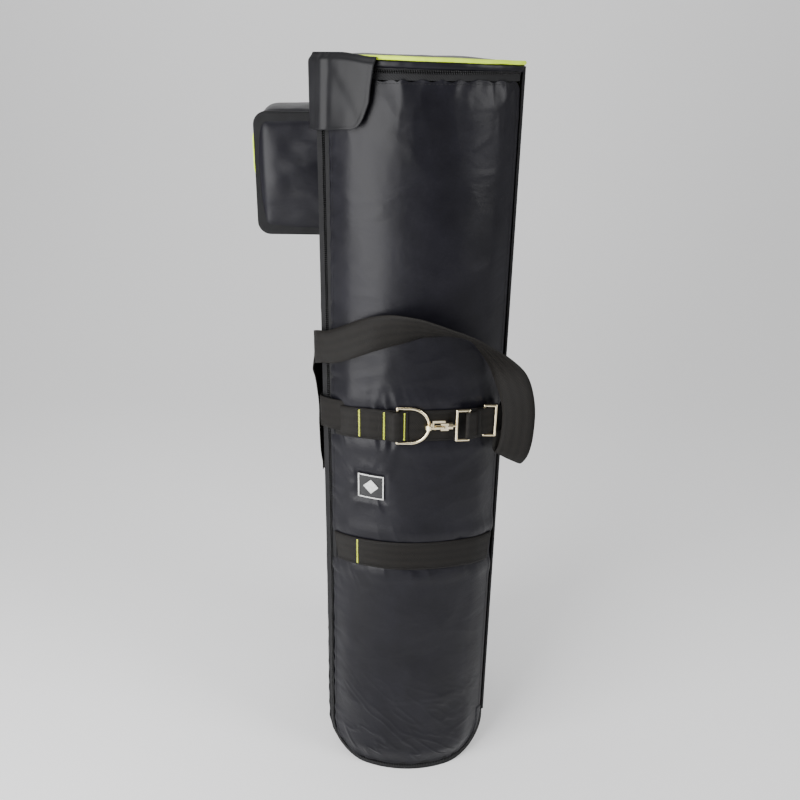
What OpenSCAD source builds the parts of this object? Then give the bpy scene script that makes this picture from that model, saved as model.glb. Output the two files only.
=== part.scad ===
// Padded carrying case for a long tube instrument: a tall case with a bowed front
// door, a zip round three sides, a box pocket high on the left wall, two webbing
// bands and a shoulder strap with a snap hook.
// Origin: centre of the base, on the ground. +Z up, the door faces -Y.

/* [Case] */
// Width over the two side walls
body_w = 214; // [210:1:218]
// Height to the top of the lid piping
body_h = 912; // [900:1:924]
// Depth behind the origin, to the back panel
back_y = 107; // [105:1:110]
// How far the door bows out in front of its two edges
bulge = 48; // [46:1:50]
// Radius of the two lower corners, seen from the front
corner_r = 52; // [50:1:58]
// Thickness of the outer cloth with its backing
cover_t = 1.5; // [1.4:0.1:1.6]
// Thickness of the padding
foam_t = 8; // [7:0.5:8.5]
// Thickness of the lining
lining_t = 0.8; // [0.6:0.1:1]

/* [Zip] */
// Width of each cloth tape outside the coil
tape_w = 5; // [4.5:0.1:5.2]
// Width of each half of the coil
coil_w = 1.5; // [1.3:0.1:1.5]
// Height of the coil above the cloth
coil_h = 0.8; // [0.6:0.1:0.9]

/* [Webbing] */
// Width of the bands and of the shoulder strap
web_w = 38; // [37:1:38]
// Thickness of the webbing
web_t = 1.7; // [1.5:0.1:1.8]
// Height of the middle of the upper band
band1_z = 525; // [524:1:526]
// Height of the middle of the lower band
band2_z = 350; // [340:1:360]

/* [Pocket] */
// How far the box pocket stands out from the left wall
pocket_out = 74; // [70:1:80]
// Height of the pocket's underside
pocket_z0 = 724; // [715:1:730]
// Height of the pocket's top
pocket_z1 = 860; // [850:1:870]
// Outer corner radius of the pocket
pocket_r = 16; // [14:1:18]

/* [Fittings] */
// Wire radius of the metal ring
ring_wire = 1.7; // [1.5:0.1:1.7]
// Radius of the round side of the ring
ring_r = 21.6; // [21.5:0.1:21.7]

/* [Hidden] */
$fn = 96;
a = body_w/2;
front_y = -59;
R = (a*a + bulge*bulge)/(2*bulge);
cy = front_y - bulge + R;
foam_in = cover_t + 0.1 + foam_t;
skin_in = foam_in + 0.1 + lining_t;
top_z = body_h - 4.6;
z_tape = top_z - tape_w;
z_coil = z_tape - coil_w;
z_coil2 = z_coil - 0.3 - coil_w;
z_door = z_coil2 - 6.2;
c1 = 5.7; c2 = c1 + coil_w; c3 = c2 + 0.3; c4 = c3 + coil_w; c5 = 14;
black = [0.05, 0.05, 0.06];
web = [0.12, 0.11, 0.1];
lime = [0.78, 0.86, 0.36];
gold = [0.85, 0.75, 0.5];
// hinge line of the door
hx = a; hy = -58;
// ring bar, and how far the ring's round end reaches from it
bx = -18; by = -111.6; reach = 36.5;

// 2D shapes in the front view (X across, Y used as height)
module u2d(off = 0, top = 907) {
  translate([-(a - off), corner_r]) square([2*(a - off), top - corner_r]);
  translate([-(a - corner_r), off]) square([2*(a - corner_r), corner_r]);
  for (s = [-1, 1]) translate([s*(a - corner_r), corner_r]) circle(r = corner_r - off);
}
// strip between two offsets of the outline, open at the top
module uband(o1, o2, top = 907) {
  difference() { u2d(o1, top); u2d(o2, top + 1); }
}
module slab_y(y0, y1) { translate([0, y1, 0]) rotate([90, 0, 0]) linear_extrude(y1 - y0) children(); }
// patch of the bowed front, from r1 to r2 about the bow's axis
module front_ring(r1, r2) {
  intersection() {
    difference() {
      translate([0, cy, -5]) cylinder(r = r2, h = 940, $fn = 180);
      translate([0, cy, -6]) cylinder(r = r1, h = 942, $fn = 180);
    }
    slab_y(-130, -30) children();
  }
}
// plan outline of the whole case, moved inwards
module plan(off = 0, rr = 0) {
  intersection() {
    translate([0, cy]) circle(r = R - off, $fn = 180);
    translate([-(a - off), -130]) square([2*(a - off), 90]);
  }
  translate([-(a - off), -41]) square([2*(a - off), back_y - off + 41 - rr]);
  if (rr > 0) {
    translate([-(a - off - rr), 0]) square([2*(a - off - rr), back_y - off]);
    for (s = [-1, 1]) translate([s*(a - off - rr), back_y - off - rr]) circle(r = rr, $fn = 48);
  }
}
function arc_y(x, r) = cy - sqrt(r*r - x*x);
function on_arc(x, d) = [x, arc_y(x, R + d)];

// ---------- case ----------
module back_cover() { color(black) slab_y(back_y - cover_t - 0.1, back_y - 0.1) u2d(4.5, top_z); }
module back_foam() { color("dimgray") slab_y(back_y - foam_in - 0.2, back_y - cover_t - 0.2) u2d(10.6, top_z - 19); }
module back_lining() { color(lime) slab_y(back_y - skin_in - 0.3, back_y - foam_in - 0.3) u2d(10.6, top_z - 19); }
module hole_left(x0) { translate([x0, -20, pocket_z0 + 10]) cube([30, 105, pocket_z1 - pocket_z0 - 20]); }
module gusset_left_cover() { color(black) difference() {
  translate([-a, -56.4, corner_r]) cube([cover_t, back_y - 2.8 + 56.4, top_z - corner_r]);
  hole_left(-a - 5); } }
module gusset_left_foam() { color("dimgray") difference() {
  translate([-a + cover_t + 0.1, -46, corner_r]) cube([foam_t, back_y - 12 + 46, top_z - 19 - corner_r]);
  hole_left(-a - 5); } }
module gusset_right_cover() { color(black)
  translate([a - cover_t, -55.4, corner_r]) cube([cover_t, back_y - 2.8 + 55.4, top_z - corner_r]); }
module gusset_right_foam() { color("dimgray")
  translate([a - foam_in, -46, corner_r]) cube([foam_t, back_y - 12 + 46, top_z - 19 - corner_r]); }
module under(off) { translate([0, 0, -5]) linear_extrude(corner_r + 5) union() {
  intersection() { translate([0, cy]) circle(r = R - off, $fn = 180); translate([-a - 1, -130]) square([2*a + 2, 90]); }
  translate([-a - 1, -41]) square([2*a + 2, back_y + 41]); } }
module base_cover() { color(black) intersection() {
  slab_y(-120, back_y - 2.8) uband(0, cover_t);
  under(1.7); } }
module base_foam() { color("dimgray") intersection() {
  slab_y(-100, back_y - 12) uband(cover_t + 0.1, foam_in);
  translate([0, 0, -5]) linear_extrude(corner_r + 5) union() {
    intersection() { translate([0, cy]) circle(r = R - 12, $fn = 180); translate([-a, -130]) square([2*a, 84.1]); }
    translate([-a, -46]) square([2*a, back_y + 46]);
  } } }
module gusset_lining() { color(lime) difference() {
  slab_y(-46, back_y - 12) uband(foam_in + 0.1, skin_in, top_z - 19);
  hole_left(-a - 5); } }
module lid_cover() { color(black) translate([0, 0, top_z + 0.1]) linear_extrude(3.9) plan(2.4, 9.6); }
module lid_crown() { color(black) translate([0, 0, top_z + 4.1]) linear_extrude(3.4) plan(9, 6); }
module lid_foam() { color("dimgray") translate([0, 0, top_z - 17]) linear_extrude(16.9) plan(12.2); }
module lid_lining() { color(lime) translate([0, 0, top_z - 17.9]) linear_extrude(0.8) plan(12.2); }
// tube round the plan outline
module lid_piping() { color(lime) translate([0, 0, body_h - 2.2]) {
  rotate([0, 0, 0]) translate([0, cy, 0]) rotate([0, 0, 270 - asin(a/R)]) rotate_extrude(angle = 2*asin(a/R), $fn = 180)
    translate([R, 0]) circle(r = 2.2, $fn = 24);
  for (s = [-1, 1]) translate([s*a, front_y, 0]) {
    sphere(r = 2.2, $fn = 24);
    rotate([-90, 0, 0]) cylinder(r = 2.2, h = back_y - front_y - 12, $fn = 24); }
  for (s = [-1, 1]) translate([s*(a - 12), back_y - 12, 0]) rotate([0, 0, s > 0 ? 0 : 90]) rotate_extrude(angle = 90)
    translate([12, 0]) circle(r = 2.2, $fn = 24);
  translate([-a + 12, back_y, 0]) rotate([0, 90, 0]) cylinder(r = 2.2, h = 2*a - 24, $fn = 24);
} }
// region of the front that the zip takes: left, bottom and lower right, then the top
module zip_region(o1, o2, z1, z2, x1, x2) {
  intersection() {
    uband(o1, o2, z2);
    union() { translate([-120, -1]) square([120, 1000]); translate([-1, -1]) square([121, corner_r + 13]); }
  }
  translate([-x1, z1]) square([x1 + x2, z2 - z1]);
}
module zip_tape_case() { color(black) front_ring(R - 1.5, R - 0.3) zip_region(0, c1, z_tape, top_z - 0.1, a, a - 4); }
module zip_coil_case() { color([0.1, 0.1, 0.1]) front_ring(R - coil_h, R + coil_h) zip_region(c1, c2, z_coil, z_tape, a - c1, a - 4); }
module zip_coil_door() { color([0.1, 0.1, 0.1]) front_ring(R - coil_h, R + coil_h) zip_region(c3, c4, z_coil2, z_coil - 0.3, a - c3, a - 4); }
module zip_tape_door() { color(black) front_ring(R - 1.5, R - 0.3) zip_region(c4, c5, z_door, z_coil2, a - c4, a - 4); }
module hinge_piping() { color(black) translate([hx, hy, corner_r + 14]) cylinder(r = 2, h = top_z - corner_r - 14.2, $fn = 24); }
module back_piping() { color(black) {
  z0 = corner_r; o = 2.2;
  for (s = [-1, 1]) translate([s*(a - o), back_y, z0]) cylinder(r = 2.2, h = top_z - z0 - 0.1, $fn = 24);
  for (s = [-1, 1]) translate([s*(a - corner_r), back_y, z0]) rotate([90, 0, 0])
    rotate([0, 0, s > 0 ? -90 : 180]) rotate_extrude(angle = 90) translate([corner_r - o, 0]) circle(r = 2.2, $fn = 24);
  translate([-(a - corner_r), back_y, o]) rotate([0, 90, 0]) cylinder(r = 2.2, h = 2*(a - corner_r), $fn = 24);
} }
// front view of the pocket, offset inwards, open towards the case
module pk2d(o = 0, xr = -107.1) {
  x0 = -a - pocket_out;
  translate([x0 + pocket_r, pocket_z0 + o]) square([xr - x0 - pocket_r, pocket_z1 - pocket_z0 - 2*o]);
  translate([x0 + o, pocket_z0 + pocket_r]) square([pocket_r, pocket_z1 - pocket_z0 - 2*pocket_r]);
  for (z = [pocket_z0 + pocket_r, pocket_z1 - pocket_r]) translate([x0 + pocket_r, z]) circle(r = pocket_r - o);
}
module pk_wall(o1, o2, y0, y1) { slab_y(y0, y1) difference() { pk2d(o1); pk2d(o2, -100); } }
module pocket_sleeve() { color(black) pk_wall(0, cover_t, -27, 92); }
module pocket_front() { color(black) slab_y(-30, -28.5) pk2d(3.2); }
module pocket_back() { color(black) slab_y(93.5, 95) pk2d(3.2); }
module pocket_foam() { color("dimgray") difference() {
  union() { slab_y(-28.4, 93.4) pk2d(3); slab_y(-27.1, 92.1) pk2d(cover_t + 0.1); }
  slab_y(-21.4, 86.4) pk2d(cover_t + 7.1, -100); } }
module pocket_lining() { color(lime) difference() {
  slab_y(-21.3, 86.3) pk2d(cover_t + 7.2);
  slab_y(-20.5, 85.5) pk2d(cover_t + 8, -100); } }
// cord sewn round the two outer rims of the pocket
module pocket_piping() { color(lime) for (y = [-28.6, 93.6]) {
  x0 = -a - pocket_out; r = 1.4; o = 1.4;
  for (z = [pocket_z0 + o, pocket_z1 - o]) translate([x0 + pocket_r, y, z]) rotate([0, 90, 0]) cylinder(r = r, h = pocket_out - pocket_r - 0.2, $fn = 20);
  translate([x0 + o, y, pocket_z0 + pocket_r]) cylinder(r = r, h = pocket_z1 - pocket_z0 - 2*pocket_r, $fn = 20);
  for (k = [0, 1]) translate([x0 + pocket_r, y, k == 0 ? pocket_z0 + pocket_r : pocket_z1 - pocket_r]) rotate([90, 0, 0])
    rotate([0, 0, k == 0 ? 180 : 90]) rotate_extrude(angle = 90) translate([pocket_r - o, 0]) circle(r = r, $fn = 20);
} }

// ---------- door ----------
module door2d(off, top, right) {
  intersection() { u2d(off, top); translate([-200, 0]) square([200 + a - off - 2, 1000]); }
  translate([40, corner_r + 16]) square([right - 40, top - corner_r - 16]);
}
module door_cover() { color(black) front_ring(R - cover_t, R) door2d(c5, z_door, a - 2.8); }
module door_foam() { color("dimgray") front_ring(R - foam_in, R - cover_t - 0.1) door2d(16, z_door - 6, a - 16); }
module door_lining() { color(lime) front_ring(R - skin_in, R - foam_in - 0.1) door2d(16, z_door - 6, a - 16); }
module band(z) { front_ring(R + 0.2, R + 0.2 + web_t) translate([-92, z - web_w/2]) square([92 + 100, web_w]); }
module upper_band() { color(web) band(band1_z); }
module lower_band() { color(web) band(band2_z); }
// short webbing that traps the bar of the ring against the upper band
module ring_keeper() { color(web) translate([0, 0, band1_z - 18.5]) linear_extrude(37) union() {
  o = [for (t = [200:10:340]) [bx + 4*cos(t), by + 4*sin(t)]];
  i = [for (t = [340:-10:200]) [bx + 2.4*cos(t), by + 2.4*sin(t)]];
  polygon(concat([on_arc(-38, 2), on_arc(-38, 3.4), on_arc(-31, 3.4), on_arc(-25, 3.6)], o, [on_arc(-11, 3.45), on_arc(-6, 3.4), on_arc(-6, 2), on_arc(-12, 2)],
    i, [on_arc(-24, 2), on_arc(-31, 2)]));
} }
module tack(x, z, d, h) { front_ring(R + d, R + d + 0.6) translate([x - 0.8, z - h/2]) square([1.6, h]); }
module bartacks() { color(lime) { tack(-60, band1_z, 2, 34); tack(-31.6, band1_z, 3.5, 34); tack(-9.6, band1_z, 3.5, 34); tack(-63.5, band2_z, 2, 34); } }
module badge2d(s) { translate([-48.5, 440.5]) square([s, s], center = true); }
module badge_plate() { color([0.2, 0.2, 0.2]) front_ring(R + 0.1, R + 1.5) badge2d(32); }
module badge_rim() { color("silver") front_ring(R + 1.6, R + 2.4) difference() { badge2d(31); badge2d(28); } }
module badge_emblem() { color("silver") front_ring(R + 1.6, R + 2.2) translate([-48.5, 440.5]) rotate(45) square([13, 13], center = true); }
// flap over the upper left corner, in two leaves joined at a vertical fold
fold_x = -98; fold_r = R + 9;
module flap_side() { color([0.07, 0.07, 0.08]) {
  front_ring(fold_r - 0.6, fold_r + 0.8) polygon([[-113.2, 904], [-113.2, 846], [-111, 845], [fold_x - 0.6, 845], [fold_x - 0.6, 904]]);
  translate([-114.2, -66.2, 846]) cube([1.4, 28, 58]); } }
module flap2d() { polygon([[fold_x + 0.2, 905], [fold_x + 0.2, 846], [-70, 843.5], [-62, 846], [-56, 855], [-50, 869], [-48, 886], [-46, 905]]); }
module flap_front() { color([0.07, 0.07, 0.08]) front_ring(fold_r - 0.6, fold_r + 0.8) flap2d(); }
module flap_binding() { color(black) front_ring(fold_r + 0.9, fold_r + 1.5)
  difference() { flap2d(); translate([3, 0]) polygon([[fold_x - 9, 1000], [fold_x - 9, 849.5], [-73, 847], [-67, 849], [-61.5, 857], [-56, 870], [-54, 886], [-52, 1000]]); } }

// ---------- strap ----------
function cr(p0, p1, p2, p3, t) = 0.5*((2*p1) + (p2 - p0)*t + (2*p0 - 5*p1 + 4*p2 - p3)*t*t + (3*p1 - p0 - 3*p2 + p3)*t*t*t);
function pick(p, i) = p[max(0, min(len(p) - 1, i))];
function smooth(p, n) = [for (i = [0:len(p) - 2], k = [0:n - 1]) cr(pick(p, i - 1), p[i], p[i + 1], pick(p, i + 2), k/n), p[len(p) - 1]];
function unit(v) = v/norm(v);
function ribbon_ring(P, i, w, t) = let(
    d = unit(pick(P, i + 1)[0] - pick(P, i - 1)[0]),
    w0 = P[i][1] - d*(P[i][1]*d), wn = unit(w0), n = cross(wn, d), c = P[i][0])
  [c + wn*w/2 + n*t/2, c - wn*w/2 + n*t/2, c - wn*w/2 - n*t/2, c + wn*w/2 - n*t/2];
// flat ribbon along points, each with the direction of its width
// first and last pick a stretch of it; ease moves the first cut along the ribbon
module ribbon(pts, n = 5, w = web_w, t = web_t, first = 0, last = -1, ease = 0) {
  P = let(c = smooth([for (p = pts) p[0]], n), q = smooth([for (p = pts) p[1]], n)) [for (i = [0:len(c) - 1]) [c[i], q[i]]];
  e = last < 0 ? len(P) - 1 : last;
  m = e - first + 1;
  v = [for (i = [first:e]) let(d = unit(pick(P, i + 1)[0] - pick(P, i - 1)[0])) each [for (r = ribbon_ring(P, i, w, t)) r + d*(i == first ? ease : 0)]];
  f = concat([[0, 1, 2, 3]], [for (i = [0:m - 2], k = [0:3]) each [[4*i + k, 4*i + 4 + k, 4*i + (k + 1)%4], [4*i + (k + 1)%4, 4*i + 4 + k, 4*i + 4 + (k + 1)%4]]],
    [[4*m - 1, 4*m - 2, 4*m - 3, 4*m - 4]]);
  polyhedron(v, f, convexity = 6);
}
Z = [0, 0, 1];
// point standing d off the bow, over the bow's point at x
function arc_p(x, d, z) = [x*(R + d)/R, cy - sqrt(R*R - x*x)*(R + d)/R, z];
// sewn end of the strap: leaves the band's left end and passes over the zip
tail_anchor = [[arc_p(-80, 3, 525.3), Z], [arc_p(-87, 3.6, 525), Z], [arc_p(-93.5, 5, 524.6), Z], [arc_p(-100, 5.3, 524), Z], [arc_p(-105, 4.8, 523.5), Z], [[-109.4, -58.5, 522], Z], [[-109.3, -48, 517], Z], [[-108.8, -33, 508], [0, 0.35, 1]],
  [[-108.7, -25, 490], [0, 1, 1]], [[-108.7, -24, 470], [0, 1, 0.2]], [[-108.7, -25, 448], [0, 1, 0]], [[-108.9, -25, 436], [0, 1, 0]]];
tail_out = [[[-110.65, -25.2, 434], [0, 1, 0]], [[-110.8, -25.4, 444], [0, 1, 0]], [[-111.7, -27.4, 458], [0.03, 1, 0]], [[-112.1, -30, 474], [0.05, 1, 0]], [[-112, -32, 500], [0.06, 1, 0]], [[-111.9, -33, 530], [0.08, 1, 0]],
  [[-112.6, -33, 560], [0.2, 1, 0.1]], [[-115.5, -37, 581], [0.1, 0.6, 0.8]], [[-117.5, -47, 596], Z], [[-115.2, -60, 602], Z], [[-108, -71, 606], Z]];
front_run = [[[-107, -72.2, 606.4], Z], [[-95, -82.5, 609.5], Z], [[-75, -97, 620], Z], [[-50, -109.6, 633], Z], [[-25, -117, 641], [0, -0.24, 0.97]], [[0, -122.5, 644.5], [0, -0.6, 0.8]], [[18, -123.7, 643], [0, -0.76, 0.65]],
  [[34, -123, 640.5], [0, -0.86, 0.5]], [[48, -122, 637.5], [0.1, -0.92, 0.4]], [[60, -120, 633], [0.25, -0.93, 0.3]]];
loop_run = [[[75, -113.5, 623], [0.5, -1, 0.2]], [[90, -104, 608], [0.85, -0.85, 0.2]], [[105, -97, 588], [1, -0.4, 0]], [[116, -95, 566], [1, -0.1, 0]], [[122, -95, 540], [1, 0, 0]],
  [[122.5, -95, 512], [1, 0, 0]], [[120, -95, 492], [1, 0, -0.05]], [[116, -92.5, 480], [1, 0, -0.2]], [[113, -86.5, 475], [0.95, 0, -0.55]], [[112, -80.5, 480], [0.6, 0, -1]], [[115, -77.5, 494], [0.3, 0, -1]], [[117, -77.5, 510], [0.1, 0, -1]], [[113, -81.5, 522], [0, 0, -1]], [[104.1, -85.9, 525.4], [0, 0, -1]]];
module strap_anchor() { color(web) ribbon(tail_anchor); }
module strap_tail() { color(web) ribbon(tail_out); }
over_run = concat(front_run, loop_run);
cut = 5*(len(front_run) - 1);
module strap_front() { color(web) ribbon(over_run, last = cut); }
module strap_loop() { color(web) ribbon(over_run, first = cut, ease = 0.5); }

// ---------- ring, hook and buckle ----------
rz = band1_z + 0.5;
module d_ring() { color(gold) translate([bx, by, rz]) {
  translate([0, 0, -ring_r]) cylinder(r = ring_wire, h = 2*ring_r, $fn = 24);
  for (s = [-1, 1]) { translate([0, 0, s*ring_r]) sphere(r = ring_wire, $fn = 24);
    translate([0, 0, s*ring_r]) rotate([0, 90, 0]) cylinder(r = ring_wire, h = reach - ring_r, $fn = 24); }
  translate([reach - ring_r, 0, 0]) rotate([90, 0, 0]) rotate([0, 0, -90]) rotate_extrude(angle = 180) translate([ring_r, 0]) circle(r = ring_wire, $fn = 24);
} }
// frame of the hook: X along the strap, away from the ring
module hook_frame() { translate([bx + reach, by, rz]) rotate([0, 0, 6]) children(); }
module snap_hook() { color(gold) hook_frame() {
  difference() {
    union() {
      intersection() {
        union() {
          translate([1.5, 0, -2.5]) cylinder(r = 7, h = 5, $fn = 48);
          translate([4, -4, -2.5]) cube([18, 8, 5]);
          translate([13, -4, -4.4]) cube([9, 8, 8.8]);
        }
        translate([-10, -10, -5]) cube([40, 13.5, 10]);
      }
      translate([21, 0, 0]) rotate([0, 90, 0]) cylinder(r = 4.4, h = 6, $fn = 32);
    }
    intersection() {
      translate([1.5, 0, -4]) cylinder(r = 4.2, h = 8, $fn = 48);
      translate([-10, -10, -5]) cube([20, 12.15, 10]);
    }
    translate([3, -9, -1.4]) cube([15, 9.5, 2.8]);
    translate([1.5, -9, -4]) cube([4, 6, 8]);
    translate([20, 0, 0]) rotate([0, 90, 0]) cylinder(r = 1.75, h = 8, $fn = 32);
  }
  translate([15.5, -3.2, -2.5]) cylinder(r = 0.7, h = 5, $fn = 24);
} }
// sprung lever that closes the mouth of the hook
module snap_trigger() { color(gold) hook_frame() difference() {
  union() {
    translate([1.8, -6.6, -1.1]) cube([13, 2.6, 2.2]);
    translate([15.5, -3.2, -1.1]) cylinder(r = 1.9, h = 2.2, $fn = 24);
    translate([13, -6.6, -1.1]) cube([3.2, 3.4, 2.2]);
    translate([2.9, -7.2, -1.1]) cube([1.8, 2.2, 10.6]);
    translate([2.9, -7.2, 6.8]) cube([14.6, 2.2, 2.7]);
  }
  translate([15.5, -3.2, -2]) cylinder(r = 0.85, h = 4, $fn = 24);
} }
module hook_eye() { color(gold) hook_frame() translate([32, 0, 0]) {
  for (x = [0, 14]) translate([x, 0, -18.3]) cylinder(r = 1.6, h = 36.6, $fn = 24);
  for (z = [-18.3, 18.3]) { translate([0, 0, z]) rotate([0, 90, 0]) cylinder(r = 1.6, h = 14, $fn = 24);
    for (x = [0, 14]) translate([x, 0, z]) sphere(r = 1.6, $fn = 24); }
  translate([-9.5, 0, 0]) rotate([0, 90, 0]) cylinder(r = 1.5, h = 9.5, $fn = 32);
} }
// frame of the strap end: X along the webbing from the eye's outer bar
module end_frame() { hook_frame() translate([46, 0, 0]) rotate([0, 0, 18]) children(); }
// strap end: goes round the outer bar of the eye, doubled and stitched
module strap_end() { color(web) end_frame() translate([0, 0, -16.5]) linear_extrude(33) {
  difference() {
    union() { circle(r = 2.1 + web_t); translate([0, -2.1 - web_t]) square([16, 4.2 + 2*web_t]); }
    circle(r = 2.1); translate([0, -2.1]) square([9, 4.2]);
    translate([10, -1]) square([8, 0.3]);
  }
  translate([15, 2.1]) square([29, web_t]);
} }
module tri_glide() { color(gold) end_frame() translate([29, 2.9, 0]) rotate([0, 0, -24.2]) {
  h = 18.6; l = 6.6;
  for (x = [-l, l]) translate([x, 0, -h]) cylinder(r = 1.5, h = 2*h, $fn = 24);
  for (z = [-h, h]) { translate([-l, 0, z]) rotate([0, 90, 0]) cylinder(r = 1.5, h = 2*l, $fn = 24);
    for (x = [-l, l]) translate([x, 0, z]) sphere(r = 1.5, $fn = 24); }
  translate([0, 3.7, -h]) cylinder(r = 1.3, h = 2*h, $fn = 24);
  for (z = [-h, h]) translate([0, 0, z]) { rotate([-90, 0, 0]) cylinder(r = 1.3, h = 3.7, $fn = 24); translate([0, 3.7, 0]) sphere(r = 1.3, $fn = 24); }
} }

// ---------- sliders: a cap over both halves of the coil, a nib behind the door's half ----------
zc = (c2 + c3)/2;
// frame on the bow at angle q from the front: X outwards
module bow(q, z) { translate([0, cy, z]) rotate([0, 0, q - 90]) translate([R, 0, 0]) children(); }
q_side = -asin((a - zc)/R);
module slider_cap(l) {
  translate([1.1, -4, -l/2]) cube([1.3, 8, l]);
  for (z = [-l/2 + 1.5, l/2 - 3.5]) translate([2.3, -1, z]) cube([1, 2, 2]);
  translate([3.2, -1, -l/2 + 1.5]) cube([0.7, 2, l - 3]);
}
module pull() { difference() {
  translate([2.65, -2.6, -16.5]) cube([0.3, 5.2, 17]);
  translate([2, -1.3, -5]) cube([2, 2.6, 4.5]);
  translate([2.8, 0, -14]) rotate([0, 90, 0]) cylinder(r = 1.2, h = 2, center = true, $fn = 24);
} }
module side_slider() { color("silver") bow(q_side, 862) slider_cap(12); }
module side_pull() { color("silver") bow(q_side, 862) pull(); }
q_top = -asin(78/R);
module top_slider() { color("silver") bow(q_top, z_coil - 0.15) rotate([-90, 0, 0]) slider_cap(12); }
module top_pull() { color("silver") bow(q_top, z_coil - 0.15) rotate([-90, 0, 0]) pull(); }

back_cover();
back_foam();
back_lining();
gusset_left_cover();
gusset_left_foam();
gusset_right_cover();
gusset_right_foam();
base_cover();
base_foam();
gusset_lining();
lid_cover();
lid_crown();
lid_foam();
lid_lining();
lid_piping();
zip_tape_case();
zip_coil_case();
hinge_piping();
back_piping();
pocket_sleeve();
pocket_front();
pocket_back();
pocket_foam();
pocket_lining();
pocket_piping();
door_cover();
door_foam();
door_lining();
zip_tape_door();
zip_coil_door();
upper_band();
lower_band();
ring_keeper();
bartacks();
badge_plate();
badge_rim();
badge_emblem();
flap_side();
flap_front();
flap_binding();
strap_anchor();
strap_tail();
strap_front();
strap_loop();
strap_end();
d_ring();
hook_eye();
snap_hook();
snap_trigger();
tri_glide();
side_slider();
side_pull();
top_slider();
top_pull();
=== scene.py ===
import bpy, math
import numpy as np
from mathutils import Matrix


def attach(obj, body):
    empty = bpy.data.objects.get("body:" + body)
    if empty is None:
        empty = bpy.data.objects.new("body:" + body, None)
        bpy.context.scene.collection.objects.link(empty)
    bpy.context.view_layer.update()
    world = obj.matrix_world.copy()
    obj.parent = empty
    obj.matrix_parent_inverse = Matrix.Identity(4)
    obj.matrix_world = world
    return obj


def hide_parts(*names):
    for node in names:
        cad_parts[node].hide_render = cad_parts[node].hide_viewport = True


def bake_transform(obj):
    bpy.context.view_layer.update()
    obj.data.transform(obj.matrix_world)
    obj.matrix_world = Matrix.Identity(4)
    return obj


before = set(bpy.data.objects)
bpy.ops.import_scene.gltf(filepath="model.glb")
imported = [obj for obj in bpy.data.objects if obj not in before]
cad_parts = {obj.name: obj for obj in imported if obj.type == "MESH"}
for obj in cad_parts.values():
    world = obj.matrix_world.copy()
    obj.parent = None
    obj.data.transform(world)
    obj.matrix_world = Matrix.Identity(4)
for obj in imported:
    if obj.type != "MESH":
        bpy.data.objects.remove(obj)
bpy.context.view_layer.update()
col = bpy.context.scene.collection

# ------------------------------------------------------------------ camera
def look():
    f, pitch, roll, yaw = 820.0, 22.49, 0.86, -0.16
    C = np.array([-17.57, -965.0, 910.9]) / 1000
    p, r, y = (math.radians(v) for v in (pitch, roll, yaw))
    fw = np.array([-math.sin(y) * math.cos(p), math.cos(y) * math.cos(p), -math.sin(p)])
    rt = np.array([math.cos(y), math.sin(y), 0.0]); up = np.cross(rt, fw)
    rt2 = math.cos(r) * rt + math.sin(r) * up; up2 = -math.sin(r) * rt + math.cos(r) * up
    cam = bpy.data.cameras.new("camera"); cam.lens = f / 800 * 36; cam.sensor_width = 36
    cam.clip_start = 0.01; cam.clip_end = 50
    o = bpy.data.objects.new("camera", cam); col.objects.link(o)
    M = Matrix.Identity(4)
    for i in range(3):
        M[i][0], M[i][1], M[i][2], M[i][3] = rt2[i], up2[i], -fw[i], C[i]
    o.matrix_world = M
    bpy.context.scene.camera = o
look()

# ------------------------------------------------------------------ numbers, in mm
A = 107.0; R = 143.2604; CY = 36.2604; CR = 52.0
TOP = 907.4; ZDOOR = 892.9; B1, B2 = 525.0, 350.0; WEB = 38.0
rng = np.random.default_rng(7)
TAB = rng.random((64, 64))

def vnoise(x, y, seed=0):
    x = np.asarray(x, float) + 17.3 * seed; y = np.asarray(y, float) + 9.7 * seed
    xi, yi = np.floor(x).astype(int), np.floor(y).astype(int)
    fx, fy = x - xi, y - yi
    fx, fy = fx * fx * (3 - 2 * fx), fy * fy * (3 - 2 * fy)
    g = lambda i, j: TAB[i % 64, j % 64]
    return ((g(xi, yi) * (1 - fx) + g(xi + 1, yi) * fx) * (1 - fy) + (g(xi, yi + 1) * (1 - fx) + g(xi + 1, yi + 1) * fx) * fy) * 2 - 1

def fbm(x, y, seed=0, n=3):
    out, a = 0, 1.0
    for k in range(n):
        out = out + a * vnoise(x * 2**k, y * 2**k, seed + 3 * k); a *= 0.5
    return out

def ridge(x, y, seed=0):
    return 1 - np.abs(fbm(x, y, seed, 2)) * 2

def sm(a, b, x):
    t = np.clip((np.asarray(x, float) - a) / (b - a), 0, 1)
    return t * t * (3 - 2 * t)

def bump(x, c, w):
    return np.exp(-((x - c) / w) ** 2)

def half(z, off):
    """half width of the case outline at height z, moved inwards by off"""
    z = np.asarray(z, float)
    r = CR - off
    d = np.clip(CR - z, 0, r)
    return np.where(z >= CR, A - off, A - CR + np.sqrt(np.maximum(r * r - d * d, 0)))

def lean(z):
    """the soft body sags a little to the left near the ground"""
    return -2.4 * sm(330, 70, z)

def arc_p(x, d, z):
    return (x * (R + d) / R, CY - math.sqrt(R * R - x * x) * (R + d) / R, z)

def bow(s, z, h):
    """a point on the bowed front: s is arc length from the middle, h the height above the cloth"""
    q = np.asarray(s, float) / R
    return np.stack([(R + h) * np.sin(q) + lean(z) * np.clip(0.5 - R * np.sin(q) / 214, 0, 1), CY - (R + h) * np.cos(q), np.broadcast_to(z, np.shape(s)).astype(float)], -1)

def s_of(x):
    return R * np.arcsin(np.clip(np.asarray(x, float) / R, -1, 1))

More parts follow.
